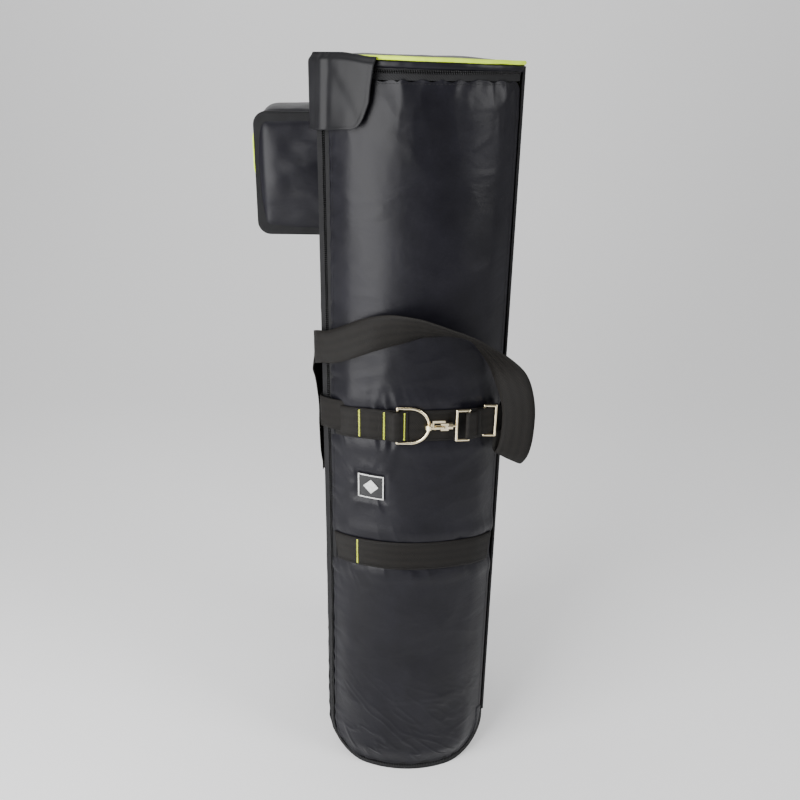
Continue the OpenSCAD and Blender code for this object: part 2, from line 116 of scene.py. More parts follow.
# ------------------------------------------------------------------ mesh helpers
def obj_from(name, v, f, mat=None, smooth=True, uv=None):
    m = bpy.data.meshes.new(name)
    m.from_pydata([tuple(map(float, p)) for p in np.asarray(v, float) / 1000], [], [tuple(map(int, q)) for q in f])
    m.validate(); m.update()
    if smooth:
        m.polygons.foreach_set("use_smooth", [True] * len(m.polygons))
    if uv is not None:
        l = m.uv_layers.new(name="UVMap")
        idx = np.zeros(len(m.loops), int); m.loops.foreach_get("vertex_index", idx)
        l.data.foreach_set("uv", (np.asarray(uv, float)[idx] / 1000).ravel())
    o = bpy.data.objects.new(name, m); col.objects.link(o)
    if mat is not None:
        m.materials.append(mat)
    return o

def grid_faces(nu, nv, close_u=False):
    f = []
    for i in range(nu if close_u else nu - 1):
        for j in range(nv - 1):
            a, b = i * nv + j, ((i + 1) % nu) * nv + j
            f.append((a, b, b + 1, a + 1))
    return f

def solid(o, t, off=-1):
    s = o.modifiers.new("thick", "SOLIDIFY"); s.thickness = t / 1000; s.offset = off; s.use_rim = True
    return o

def subdiv(o, n=1):
    s = o.modifiers.new("sub", "SUBSURF"); s.levels = n; s.render_levels = n
    return o

def cat(p0, p1, p2, p3, t):
    return 0.5 * (2 * p1 + (p2 - p0) * t + (2 * p0 - 5 * p1 + 4 * p2 - p3) * t * t + (3 * p1 - p0 - 3 * p2 + p3) * t ** 3)

def smooth_path(P, n):
    P = np.asarray(P, float); out = []
    g = lambda i: P[max(0, min(len(P) - 1, i))]
    for i in range(len(P) - 1):
        for k in range(n):
            out.append(cat(g(i - 1), g(i), g(i + 1), g(i + 2), k / n))
    out.append(P[-1]); return np.array(out)

def ribbon(name, C, W, mat, w=WEB, t=1.7, cup=0.0, wav=0.0, seed=0, taper=0):
    """flat webbing along points C with width directions W; closed, with soft edges"""
    C, W = np.asarray(C, float), np.asarray(W, float)
    n = len(C)
    d = np.gradient(C, axis=0); d /= np.linalg.norm(d, axis=1)[:, None]
    W = W - d * (W * d).sum(1)[:, None]; W /= np.linalg.norm(W, axis=1)[:, None]
    N = np.cross(W, d)
    L = np.concatenate([[0], np.cumsum(np.linalg.norm(np.diff(C, axis=0), axis=1))])
    prof = []
    m = 9
    for k in range(m):
        u = -1 + 2 * k / (m - 1); e = 1 - max(0, (abs(u) - 0.86) / 0.14) * 0.45
        prof.append((u, 0.5 * e))
    prof += [(-0 + p[0], -p[1]) for p in reversed(prof)]
    v, uv = [], []
    for i in range(n):
        for (u, q) in prof:
            z = cup * (u * u) + wav * vnoise(L[i] / 22.0, u * 1.3, seed)
            wi = w - (5.0 * float(sm(taper, 0, L[-1] - L[i])) if taper else 0)
            v.append(C[i] + W[i] * (u * wi / 2) + N[i] * (q * t + z)); uv.append((L[i], u * w / 2))
    k = len(prof)
    f = []
    for i in range(n - 1):
        for j in range(k):
            a, b = i * k + j, i * k + (j + 1) % k
            f.append((a, b, b + k, a + k))
    f.append(tuple(range(k - 1, -1, -1))); f.append(tuple((n - 1) * k + j for j in range(k)))
    return obj_from(name, v, f, mat, uv=uv)

def tube(name, C, r, mat, sides=12, closed=False, rfun=None):
    C = np.asarray(C, float); n = len(C)
    d = (np.roll(C, -1, 0) - np.roll(C, 1, 0)) if closed else np.gradient(C, axis=0)
    d /= np.linalg.norm(d, axis=1)[:, None]
    ref = np.array([0.3, 0.2, 0.93]); v, uv = [], []
    up = np.cross(d[0], ref); up /= np.linalg.norm(up); L = 0
    for i in range(n):
        up = up - d[i] * (up @ d[i]); up /= np.linalg.norm(up)
        sd = np.cross(d[i], up)
        if i: L += np.linalg.norm(C[i] - C[i - 1])
        rr = r if rfun is None else rfun(L)
        for k in range(sides):
            q = 2 * math.pi * k / sides
            v.append(C[i] + rr * (math.cos(q) * up + math.sin(q) * sd)); uv.append((L, 2 * math.pi * r * k / sides))
    f = []
    for i in range(n if closed else n - 1):
        for k in range(sides):
            a, b = i * sides + k, i * sides + (k + 1) % sides
            c, e = ((i + 1) % n) * sides + k, ((i + 1) % n) * sides + (k + 1) % sides
            f.append((a, c, e, b))
    if not closed:
        f.append(tuple(range(sides))); f.append(tuple((n - 1) * sides + k for k in reversed(range(sides))))
    return obj_from(name, v, f, mat, uv=uv)

BOXV = np.array([[-1, -1, -1], [1, -1, -1], [1, 1, -1], [-1, 1, -1], [-1, -1, 1], [1, -1, 1], [1, 1, 1], [-1, 1, 1]], float)
BOXF = [(0, 3, 2, 1), (4, 5, 6, 7), (0, 1, 5, 4), (1, 2, 6, 5), (2, 3, 7, 6), (3, 0, 4, 7)]
CAPV, CAPF = [], []
for xx, rr in ((-1, 0.45), (-0.7, 0.9), (0.0, 1.0), (0.7, 0.9), (1, 0.45)):
    for k in range(6):
        CAPV.append([xx, rr * math.cos(k * math.pi / 3), rr * math.sin(k * math.pi / 3)])
CAPV = np.array(CAPV)
for i in range(4):
    for k in range(6):
        a, b = i * 6 + k, i * 6 + (k + 1) % 6
        CAPF.append((a, b, b + 6, a + 6))
CAPF += [tuple(range(5, -1, -1)), tuple(24 + k for k in range(6))]

def place_many(name, places, size, mat, kind="cap"):
    """small equal pieces at (point, along, normal)"""
    V0, F0 = (CAPV, CAPF) if kind == "cap" else (BOXV, BOXF)
    v, f = [], []
    for (p, d, n) in places:
        d = d / np.linalg.norm(d); n = n - d * (n @ d); n = n / np.linalg.norm(n); s = np.cross(n, d)
        k = len(v)
        for q in V0 * (np.asarray(size) / 2):
            v.append(p + d * q[0] + s * q[1] + n * q[2])
        f += [tuple(k + i for i in g) for g in F0]
    return obj_from(name, v, f, mat)

def along(C, step, start=0.0):
    """points and directions every step mm along a polyline"""
    C = np.asarray(C, float)
    L = np.concatenate([[0], np.cumsum(np.linalg.norm(np.diff(C, axis=0), axis=1))])
    out = []
    t = start
    while t < L[-1]:
        i = min(np.searchsorted(L, t, "right") - 1, len(C) - 2)
        k = (t - L[i]) / max(L[i + 1] - L[i], 1e-9)
        out.append((C[i] * (1 - k) + C[i + 1] * k, C[i + 1] - C[i])); t += step
    return out

def outline(off, ztop, right_end=73.0, n=10):
    """case outline in the front view at an inward offset: top left, round the bottom, up to right_end"""
    P = [(-(A - off), z) for z in np.arange(ztop, CR, -6.0)]
    for q in np.linspace(180, 270, 26):
        P.append((-(A - CR) + (CR - off) * math.cos(math.radians(q)), CR + (CR - off) * math.sin(math.radians(q))))
    P += [(x, off) for x in np.linspace(-(A - CR) + 4, (A - CR) - 4, 24)]
    for q in np.linspace(270, 360, 26):
        P.append(((A - CR) + (CR - off) * math.cos(math.radians(q)), CR + (CR - off) * math.sin(math.radians(q))))
    if right_end > CR:
        P += [((A - off), z) for z in np.arange(CR + 3, right_end, 6.0)]
    return np.array(P)

def on_front(P, h):
    P = np.asarray(P, float)
    s = s_of(P[:, 0])
    return bow(s, P[:, 1], np.asarray(h))

def normals_front(C):
    n = C - np.array([0, CY, 0]); n[:, 2] = 0
    return n / np.linalg.norm(n, axis=1)[:, None]

# ------------------------------------------------------------------ materials
class M:
    def __init__(s, name):
        s.m = bpy.data.materials.new(name); s.m.use_nodes = True
        s.t = s.m.node_tree; s.b = s.t.nodes["Principled BSDF"]
        s.tc = s.t.nodes.new("ShaderNodeTexCoord")
    def n(s, kind, **kw):
        x = s.t.nodes.new(kind)
        for k, v in kw.items():
            if k in x.inputs.keys(): x.inputs[k].default_value = v
            else: setattr(x, k, v)
        return x
    def l(s, a, ao, b, bi): s.t.links.new(a.outputs[ao], b.inputs[bi])
    def set(s, **kw):
        for k, v in kw.items(): s.b.inputs[k.replace("_", " ")].default_value = v
        return s
    def mapped(s, scale=(1, 1, 1), rot=(0, 0, 0), coord="Object"):
        mp = s.n("ShaderNodeMapping"); mp.inputs["Scale"].default_value = scale; mp.inputs["Rotation"].default_value = rot
        s.l(s.tc, coord, mp, "Vector"); return mp
    def ramp(s, src, out, a, b, c0, c1):
        r = s.n("ShaderNodeValToRGB"); e = r.color_ramp.elements
        e[0].position, e[1].position = a, b; e[0].color, e[1].color = (*c0, 1), (*c1, 1)
        s.l(src, out, r, "Fac"); return r

def nylon(name="nylon_satin", c0=(0.0045, 0.0043, 0.0062), c1=(0.0085, 0.0082, 0.0115), rough=0.34, weave=3600.0, crease=1.0):
    k = M(name)
    mp = k.mapped()
    big = k.n("ShaderNodeTexNoise", Scale=14.0, Detail=4.0, Roughness=0.6); k.l(mp, "Vector", big, "Vector")
    fine = k.n("ShaderNodeTexNoise", Scale=420.0, Detail=3.0); k.l(mp, "Vector", fine, "Vector")
    r = k.ramp(big, "Fac", 0.3, 0.7, c0, c1)
    mix = k.n("ShaderNodeMix", data_type="RGBA", blend_type="MULTIPLY"); mix.inputs[0].default_value = 0.35
    k.t.links.new(r.outputs["Color"], mix.inputs[6])
    rf = k.ramp(fine, "Fac", 0.35, 0.65, (0.55, 0.55, 0.58), (1, 1, 1)); k.t.links.new(rf.outputs["Color"], mix.inputs[7])
    k.t.links.new(mix.outputs[2], k.b.inputs["Base Color"])
    # plain weave
    w1 = k.n("ShaderNodeTexWave", wave_type="BANDS", bands_direction="Z", Scale=weave / 6.283, Distortion=0.4); k.l(mp, "Vector", w1, "Vector")
    w2 = k.n("ShaderNodeTexWave", wave_type="BANDS", bands_direction="DIAGONAL", Scale=weave / 6.283, Distortion=0.4); k.l(mp, "Vector", w2, "Vector")
    ad = k.n("ShaderNodeMath", operation="ADD"); k.l(w1, "Fac", ad, 0); k.l(w2, "Fac", ad, 1)
    cre = k.n("ShaderNodeTexNoise", Scale=16.0, Detail=3.0, Roughness=0.5, Distortion=0.6)
    mp2 = k.mapped(scale=(1, 1, 1.7)); k.l(mp2, "Vector", cre, "Vector")
    b1 = k.n("ShaderNodeBump", Strength=0.15, Distance=0.00012); k.l(ad, "Value", b1, "Height")
    b2 = k.n("ShaderNodeBump", Strength=0.35 * crease, Distance=0.003); k.l(cre, "Fac", b2, "Height"); k.l(b1, "Normal", b2, "Normal")
    k.l(b2, "Normal", k.b, "Normal")
    rr = k.n("ShaderNodeMapRange"); rr.inputs["To Min"].default_value = rough - 0.07; rr.inputs["To Max"].default_value = rough + 0.1
    k.l(big, "Fac", rr, "Value"); k.l(rr, "Result", k.b, "Roughness")
    k.b.inputs["Specular IOR Level"].default_value = 0.17
    return k.m

def cloth(name, c0, c1, rough=0.85, scale=900.0, sheen=0.3, depth=0.0003, spec=0.25):
    k = M(name); mp = k.mapped()
    n1 = k.n("ShaderNodeTexNoise", Scale=60.0, Detail=5.0, Roughness=0.65); k.l(mp, "Vector", n1, "Vector")
    w = k.n("ShaderNodeTexWave", wave_type="BANDS", bands_direction="DIAGONAL", Scale=scale / 6.283, Distortion=1.5, Detail=2.0); k.l(mp, "Vector", w, "Vector")
    r = k.ramp(n1, "Fac", 0.3, 0.7, c0, c1); k.l(r, "Color", k.b, "Base Color")
    b = k.n("ShaderNodeBump", Strength=0.5, Distance=depth); k.l(w, "Fac", b, "Height")
    b2 = k.n("ShaderNodeBump", Strength=0.3, Distance=0.0008); k.l(n1, "Fac", b2, "Height"); k.l(b, "Normal", b2, "Normal"); k.l(b2, "Normal", k.b, "Normal")
    rr = k.n("ShaderNodeMapRange"); rr.inputs["To Min"].default_value = rough - 0.08; rr.inputs["To Max"].default_value = min(1, rough + 0.08)
    k.l(n1, "Fac", rr, "Value"); k.l(rr, "Result", k.b, "Roughness")
    if sheen: k.set(Sheen_Weight=sheen, Sheen_Roughness=0.4)
    k.b.inputs["Specular IOR Level"].default_value = spec
    return k.m

def webbing(name="webbing_twill", c0=(0.0028, 0.0024, 0.0021), c1=(0.0125, 0.011, 0.0095)):
    k = M(name)
    uv = k.mapped(coord="UV")
    w = k.n("ShaderNodeTexWave", wave_type="BANDS", bands_direction="DIAGONAL", Scale=3400.0 / 6.283 * 0.55, Distortion=0.6, Detail=1.0); k.l(uv, "Vector", w, "Vector")
    sep = k.n("ShaderNodeSeparateXYZ"); k.l(uv, "Vector", sep, "Vector")
    # long ribs across the width: a fold in the twill every 9 mm
    mul = k.n("ShaderNodeMath", operation="MULTIPLY"); mul.inputs[1].default_value = 2 * math.pi / 0.0095; k.l(sep, "Y", mul, 0)
    co = k.n("ShaderNodeMath", operation="COSINE"); k.l(mul, "Value", co, 0)
    mp = k.mapped(); n1 = k.n("ShaderNodeTexNoise", Scale=90.0, Detail=4.0); k.l(mp, "Vector", n1, "Vector")
    ad = k.n("ShaderNodeMath", operation="MULTIPLY_ADD"); ad.inputs[1].default_value = 0.16; k.l(co, "Value", ad, 0); k.l(w, "Fac", ad, 2)
    r = k.ramp(ad, "Value", 0.1, 1.0, c0, c1)
    mix = k.n("ShaderNodeMix", data_type="RGBA", blend_type="MULTIPLY"); mix.inputs[0].default_value = 0.5
    rf = k.ramp(n1, "Fac", 0.3, 0.7, (0.6, 0.6, 0.6), (1, 1, 1))
    k.t.links.new(r.outputs["Color"], mix.inputs[6]); k.t.links.new(rf.outputs["Color"], mix.inputs[7])
    k.t.links.new(mix.outputs[2], k.b.inputs["Base Color"])
    b = k.n("ShaderNodeBump", Strength=0.7, Distance=0.0004); k.l(ad, "Value", b, "Height"); k.l(b, "Normal", k.b, "Normal")
    rr = k.n("ShaderNodeMapRange"); rr.inputs["To Min"].default_value = 0.5; rr.inputs["To Max"].default_value = 0.72
    k.l(n1, "Fac", rr, "Value"); k.l(rr, "Result", k.b, "Roughness")
    k.b.inputs["Specular IOR Level"].default_value = 0.16
    return k.m

def metal(name, c0, c1, rough=0.18, wear=0.5):
    k = M(name); mp = k.mapped()
    n1 = k.n("ShaderNodeTexNoise", Scale=240.0, Detail=5.0, Roughness=0.6); k.l(mp, "Vector", n1, "Vector")
    r = k.ramp(n1, "Fac", 0.35, 0.65, c0, c1); k.l(r, "Color", k.b, "Base Color")
    rr = k.n("ShaderNodeMapRange"); rr.inputs["To Min"].default_value = rough; rr.inputs["To Max"].default_value = rough + 0.18 * wear
    k.l(n1, "Fac", rr, "Value"); k.l(rr, "Result", k.b, "Roughness")
    b = k.n("ShaderNodeBump", Strength=0.12, Distance=0.0002); k.l(n1, "Fac", b, "Height"); k.l(b, "Normal", k.b, "Normal")
    k.set(Metallic=1.0)
    return k.m

def vinyl(name="vinyl_flap"):
    k = M(name); mp = k.mapped()
    v = k.n("ShaderNodeTexVoronoi", Scale=900.0); k.l(mp, "Vector", v, "Vector")
    n1 = k.n("ShaderNodeTexNoise", Scale=30.0, Detail=4.0); k.l(mp, "Vector", n1, "Vector")
    r = k.ramp(n1, "Fac", 0.3, 0.7, (0.006, 0.006, 0.0068), (0.011, 0.011, 0.0125)); k.l(r, "Color", k.b, "Base Color")
    b = k.n("ShaderNodeBump", Strength=0.2, Distance=0.0002); k.l(v, "Distance", b, "Height"); k.l(b, "Normal", k.b, "Normal")
    rr = k.n("ShaderNodeMapRange"); rr.inputs["To Min"].default_value = 0.34; rr.inputs["To Max"].default_value = 0.5
    k.l(n1, "Fac", rr, "Value"); k.l(rr, "Result", k.b, "Roughness")
    k.b.inputs["Specular IOR Level"].default_value = 0.16
    return k.m

NYL = nylon()
ZTAPE = cloth("zip_cloth", (0.004, 0.004, 0.0045), (0.009, 0.009, 0.01), 0.75, 1500.0, 0.0)
COIL = cloth("coil_plastic", (0.008, 0.008, 0.0085), (0.02, 0.02, 0.021), 0.4, 1800.0, 0.0)
LIME = cloth("lime_cloth", (0.50, 0.68, 0.02), (0.64, 0.84, 0.05), 0.7, 1500.0, 0.0)
LINING = cloth("lime_lining", (0.40, 0.50, 0.09), (0.52, 0.62, 0.14), 0.82, 700.0, 0.4)
THREADL = cloth("lime_thread", (0.46, 0.52, 0.03), (0.68, 0.74, 0.08), 0.6, 3000.0, 0.0)
THREAD = cloth("black_thread", (0.006, 0.006, 0.0065), (0.014, 0.014, 0.015), 0.6, 3000.0, 0.0)
PIPE = cloth("black_piping", (0.003, 0.003, 0.0034), (0.008, 0.008, 0.009), 0.55, 1500.0, 0.0, spec=0.15)
FOAM = cloth("grey_foam", (0.18, 0.18, 0.19), (0.28, 0.28, 0.3), 0.95, 400.0, 0.0)
WEBM = webbing()
VIN = vinyl()
GOLD = metal("pale_gold", (0.80, 0.68, 0.42), (0.92, 0.82, 0.60))
STEEL = metal("slider_enamel", (0.05, 0.05, 0.052), (0.09, 0.09, 0.092), 0.3)
BMET = metal("badge_satin", (0.42, 0.42, 0.41), (0.55, 0.55, 0.54), 0.35)
BDRK = cloth("badge_face", (0.012, 0.012, 0.0125), (0.024, 0.024, 0.025), 0.45, 1200.0, 0.0)

# ------------------------------------------------------------------ the door's outer face
ARCH = lambda s: -9.0 * (np.abs(s) / 110.0) ** 2.2      # how a band droops towards its ends

OFFL = lambda z: 9.6 + 4.4 * sm(330, 845, z)      # the door's cloth creeps over its tape lower down
OFFR = lambda z: 2.8 + 6.8 * (1 - sm(12, 84, z))

def seam_d(s, z):
    """distance to the door's nearest edge"""
    q = s / R; x = R * np.sin(q)
    left = half(z, OFFL(z)) + x; right = half(z, OFFR(z)) - x
    return np.minimum(np.minimum(left, right), np.minimum(ZDOOR - z, z - 9.6))

def door_h(s, z):
    """height of the cloth above the bow, in mm"""
    d = seam_d(s, z)
    q = s / R; x = R * np.sin(q)
    h = 0.0 + 2.5 * sm(0, 26, d) + 1.2 * (1 - sm(8.9, 9.5, half(z, 0) - x)) * (z < CR + 24)
    # broad softness
    h = h + 1.5 * fbm(s / 80, z / 130, 1, 2) * sm(0, 30, d)
    # slanting folds
    h = h + 0.5 * np.maximum(ridge((s + 0.45 * z) / 90, (z - 0.25 * s) / 48, 5) - 0.3, 0) * sm(4, 26, d)
    # lower third hangs in lateral folds
    low = sm(330, 120, z)
    h = h + low * (1.7 * fbm((s + 0.35 * z) / 46, (z - 0.5 * s) / 62, 11, 2)) * sm(0, 24, d)
    h = h + sm(200, 60, z) * 1.1 * np.maximum(ridge((s - 0.9 * z) / 60, (z + 0.9 * s) / 17, 12) - 0.35, 0) * sm(2, 18, d)
    # gathers along the seams
    top = ZDOOR - z
    ph = s / 4.6 + 1.9 * fbm(s / 26, z / 60, 14)
    h = h + (0.95 + 0.6 * vnoise(s / 13, 0 * z, 15)) * np.sin(ph) * np.exp(-top / 10.0)
    h = h + 0.8 * ridge(s / 16, z / 46, 17) * np.exp(-top / 34.0)
    dl = half(z, OFFL(z)) + x
    h = h + 0.5 * np.sin(z / 3.8 + 2.2 * fbm(s / 30, z / 30, 19)) * np.exp(-dl / 8.0)
    db = z - 9.6
    h = h + 0.7 * np.sin(s / 4.4 + 2.0 * fbm(s / 30, z / 30, 21)) * np.exp(-np.maximum(db, 0) / 9.0)
    # bands pull the cloth in; it rolls up beside them
    for c, g in ((B1, 1.0), (B2, 1.15)):
        zz = z - (c + ARCH(s))
        h = h - 1.3 * g * np.exp(-(zz / 21.0) ** 4) + g * 1.0 * (bump(np.abs(zz), 31, 10))
        h = h + g * 0.9 * ridge(s / 17 + 0.02 * zz, zz / 90 + c, 23) * np.exp(-np.maximum(np.abs(zz) - 18, 0) / 17.0) * sm(17, 22, np.abs(zz))
    # pleats that the ring's keeper pulls into the cloth
    for x0, k in ((-44, 0.35), (-30, -0.12), (-17, -0.4)):
        for sg in (-1, 1):
            zz = (z - B1) * sg - 19
            h = h + 1.7 * np.exp(-((s - x0 - k * np.maximum(zz, 0) * 0.6) / (3.4 + 0.10 * np.maximum(zz, 0))) ** 2) * np.exp(-np.maximum(zz, 0) / 26.0) * (zz > -3)
    # badge sits in a small dip with creases off its corners
    bx, bz = s - s_of(-48.5), z - 440.5
    rr = np.maximum(np.abs(bx), np.abs(bz))
    kb = np.exp(-(rr / 19.5) ** 8)
    h = h * (1 - kb) - 0.25 * kb + 0.9 * ridge(np.arctan2(bz, bx) * 1.6, rr / 60, 31) * bump(rr, 26, 10)
    return h

FRONT_MIN = 0.25
nu, nv = 150, 560
zz = np.concatenate([9.8 + 60 * np.linspace(0, 1, 62)[:-1] ** 1.5, np.linspace(69.8, ZDOOR - 12, nv - 61)[:-1], np.linspace(ZDOOR - 12, ZDOOR, 16)])
nv = len(zz)
U = np.linspace(0, 1, nu)
shoulder = 9 - np.sqrt(np.maximum(81 - np.clip(zz - (ZDOOR - 9), 0, 9) ** 2, 0))
xl = -half(zz, OFFL(zz)); xr = half(zz, OFFR(zz)) - shoulder
sl, sr = s_of(xl), s_of(xr)
S = sl[None, :] * (1 - U[:, None]) + sr[None, :] * U[:, None]
Zg = np.broadcast_to(zz, S.shape)
Hd = door_h(S, Zg)
P = bow(S, Zg, Hd)
P[..., 2] += 1.3 * np.sin(S / 3.1 + 2.4 * vnoise(S / 17, S * 0, 16)) * np.exp(-(ZDOOR - Zg) / 3.0)
door_skin = obj_from("door_skin", P.reshape(-1, 3), grid_faces(nu, nv), NYL)
solid(door_skin, 1.3, -1)
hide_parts("door_cover"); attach(door_skin, "door")

def surf_h(x, z, add):
    """height above the bow that clears the cloth by add"""
    return door_h(s_of(x), z) + add

# door's inner lining: quilted pad with a bound edge
def quilt(u, v, pu, pv, amp):
    return amp * np.sqrt(np.abs(np.sin(math.pi * u / pu) * np.sin(math.pi * v / pv)))
z2 = np.linspace(16.2, ZDOOR - 6, 300); n2 = 56
xl2, xr2 = -half(z2, 16), half(z2, 16) + (91.0 - 91.0) * z2
s2 = s_of(xl2)[None] * (1 - np.linspace(0, 1, n2)[:, None]) + s_of(xr2)[None] * np.linspace(0, 1, n2)[:, None]
Z2 = np.broadcast_to(z2, s2.shape)
edge2 = np.minimum(np.minimum(half(Z2, 16) - np.abs(R * np.sin(s2 / R)), Z2 - 16), ZDOOR - 6 - Z2)
h2 = -10.4 + 1.4 * (1 - sm(0, 6, edge2)) * 0 + quilt(s2, Z2, 46, 92, 0.7) * 1.0 - 0.2
dl = obj_from("door_inner", bow(s2, Z2, h2).reshape(-1, 3), grid_faces(n2, len(z2)), LINING)
solid(dl, 0.8, -1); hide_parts("door_lining"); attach(dl, "door")
# binding round the pad's edge, and the foam it wraps
rim = outline(15.2, ZDOOR - 5, right_end=ZDOOR - 5)
rim = np.vstack([rim, [[x, ZDOOR - 5] for x in np.linspace(A - 18, -(A - 18), 26)]])
vv = []
for (x, z) in rim:
    for h in (-1.7, -3.5, -6.0, -8.5, -10.9):
        off = -0.7 * (1 - ((h + 6.2) / 4.7) ** 2)
        cx, cz = (0, 450) if z > CR else (np.clip(x, -(A - CR), A - CR), CR)
        d = np.array([x - np.clip(x, -(A - CR), (A - CR)) if z <= CR else np.sign(x) * (1 if abs(x) > A - 17 else 0), (z - CR) if z <= CR else (1 if z > ZDOOR - 6 else 0)], float)
        d = d / max(np.linalg.norm(d), 1e-6)
        vv.append(bow(np.array(s_of(x + d[0] * off * -1)), np.array(z + d[1] * off * -1), np.array(h)))
de = obj_from("door_edge", np.array(vv), grid_faces(len(rim), 5, True), PIPE)
solid(de, 0.6, 0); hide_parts("door_foam"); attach(de, "door")

# ------------------------------------------------------------------ walls of the case
def wall_noise(t, y, amp=1.0, seed=40):
    return amp * (1.3 * fbm(t / 95, y / 80, seed, 2) + 0.8 * np.maximum(ridge(t / 80, y / 36, seed + 2) - 0.2, 0))

ol = outline(0.0, TOP, right_end=TOP - 1)
seg = np.linalg.norm(np.diff(ol, axis=0), axis=1); T = np.concatenate([[0], np.cumsum(seg)])
tt = np.linspace(0, T[-1], 420)
OX, OZ = np.interp(tt, T, ol[:, 0]), np.interp(tt, T, ol[:, 1])
tx, tz = np.gradient(OX), np.gradient(OZ); ln = np.hypot(tx, tz); nx, nz = tz / ln, -tx / ln   # outward normal
yy = np.linspace(0, 1, 60)
v = []
f_all = grid_faces(len(tt), len(yy))
yfront = np.array([CY - math.sqrt(max((R - 1.7) ** 2 - min(abs(x), A) ** 2, 0)) for x in OX]) + 0.4
yfront = np.where(OZ > CR, np.maximum(yfront, -56.4), yfront)
Yg = yfront[:, None] * (1 - yy[None]) + 104.0 * yy[None]
TG = np.broadcast_to(tt[:, None], Yg.shape)
de_ = np.minimum(Yg - yfront[:, None], 104.0 - Yg); dt_ = np.minimum(OZ[:, None] * 0 + 999, TOP - OZ[:, None])
dd = np.minimum(de_, dt_)
bulgeh = -0.8 + 4.2 * sm(0, 45, dd) + wall_noise(TG, Yg) * sm(0, 30, dd)
bulgeh = bulgeh + 0.6 * np.sin(TG / 4.0 + 2 * fbm(TG / 30, Yg / 30, 55)) * np.exp(-de_ / 8.0)
flatb = sm(CR * 0.9, 0, OZ)[:, None]
under_strap = ((OX < 0)[:, None] * sm(25, 0, Yg) * (sm(400, 425, OZ) * sm(640, 605, OZ))[:, None])
bulgeh = bulgeh * (1 - under_strap) + under_strap * -0.6
bulgeh = bulgeh * (1 - flatb) + flatb * np.minimum(-0.9 + 0.35 * wall_noise(TG, Yg, 1, 61), -0.25)
# round the pocket the wall is pulled flat
pk = (OX < 0)[:, None] & (np.abs(OZ[:, None] - 792) < 66) & (np.abs(Yg - 32.5) < 61)
bulgeh = np.where(pk, np.minimum(bulgeh, 0.4), bulgeh)
X3 = OX[:, None] + nx[:, None] * bulgeh + (lean(OZ) * np.clip(0.5 - OX / 214, 0, 1))[:, None] * sm(60, -40, Yg); Z3 = OZ[:, None] + nz[:, None] * bulgeh
V3 = np.stack([X3, Yg, Z3], -1).reshape(-1, 3)
cen = lambda f: V3[list(f)].mean(0)
keep = []
for f in f_all:
    c = cen(f)
    if c[0] < -90 and -20 < c[1] < 85 and 734 < c[2] < 850: continue
    keep.append(f)
case_skin = obj_from("case_skin", V3, keep, NYL)
solid(case_skin, 1.3, 1)
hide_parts("gusset_left_cover", "gusset_right_cover", "base_cover"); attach(case_skin, "case")

# inner lining of the walls, quilted
ol2 = outline(10.0, TOP - 20, right_end=TOP - 20)
seg = np.linalg.norm(np.diff(ol2, axis=0), axis=1); T2 = np.concatenate([[0], np.cumsum(seg)])
t2 = np.linspace(0, T2[-1], 300); O2x, O2z = np.interp(t2, T2, ol2[:, 0]), np.interp(t2, T2, ol2[:, 1])
gx, gz = np.gradient(O2x), np.gradient(O2z); ln = np.hypot(gx, gz); n2x, n2z = gz / ln, -gx / ln
y2 = np.linspace(-46, 95, 40)
T2g, Y2g = np.meshgrid(t2, y2, indexing="ij")
hq = -quilt(T2g, Y2g + 46, 92, 47, 1.1)
V4 = np.stack([O2x[:, None] + n2x[:, None] * hq, Y2g, O2z[:, None] + n2z[:, None] * hq], -1).reshape(-1, 3)
keep = []
for f in grid_faces(len(t2), len(y2)):
    c = V4[list(f)].mean(0)
    if c[0] < -80 and -19 < c[1] < 84 and 735 < c[2] < 849: continue
    keep.append(f)
gl = obj_from("wall_inner", V4, keep, LINING)
solid(gl, 0.8, -1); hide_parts("gusset_lining"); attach(gl, "case")
# bound front edge of the walls
vv = []
for i in range(len(t2)):
    for k, o in enumerate((-8.3, -6.0, -3.0, -0.3)):
        vv.append((O2x[i] + n2x[i] * -o, -46.2 - 0.9 * math.sin(math.pi * (k + 0.5) / 4), O2z[i] + n2z[i] * -o))
we = obj_from("wall_edge", np.array(vv), grid_faces(len(t2), 4), PIPE)
solid(we, 0.6, 0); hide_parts("gusset_left_foam", "gusset_right_foam", "base_foam"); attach(we, "case")

# back panel
zb = np.linspace(5, TOP, 260); nb = 60
sb = np.linspace(-1, 1, nb)
Xb = half(zb, 4.6)[None] * sb[:, None]; Zb = np.broadcast_to(zb, Xb.shape)
db_ = np.minimum(np.minimum(half(Zb, 4.6) - np.abs(Xb), Zb - 4), TOP - Zb)
hb = -0.6 + 4.2 * sm(0, 45, db_) + wall_noise(Xb, Zb, 1.0, 71) * sm(0, 30, db_) + 0.5 * np.sin(Zb / 4 + 2 * fbm(Xb / 30, Zb / 30, 75)) * np.exp(-db_ / 8)
bs = obj_from("back_skin", np.stack([Xb, 106.9 + hb, Zb], -1).reshape(-1, 3), [q[::-1] for q in grid_faces(nb, len(zb))], NYL)
solid(bs, 1.3, -1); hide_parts("back_cover"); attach(bs, "case")
zb = np.linspace(10.8, TOP - 19, 200); Xb = half(zb, 10.7)[None] * sb[:, None]; Zb = np.broadcast_to(zb, Xb.shape)
bi = obj_from("back_inner", np.stack([Xb, 96.9 - quilt(Xb + 96, Zb, 48, 92, 1.1), Zb], -1).reshape(-1, 3), grid_faces(nb, len(zb)), LINING)
solid(bi, 0.8, -1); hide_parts("back_lining", "back_foam"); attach(bi, "case")

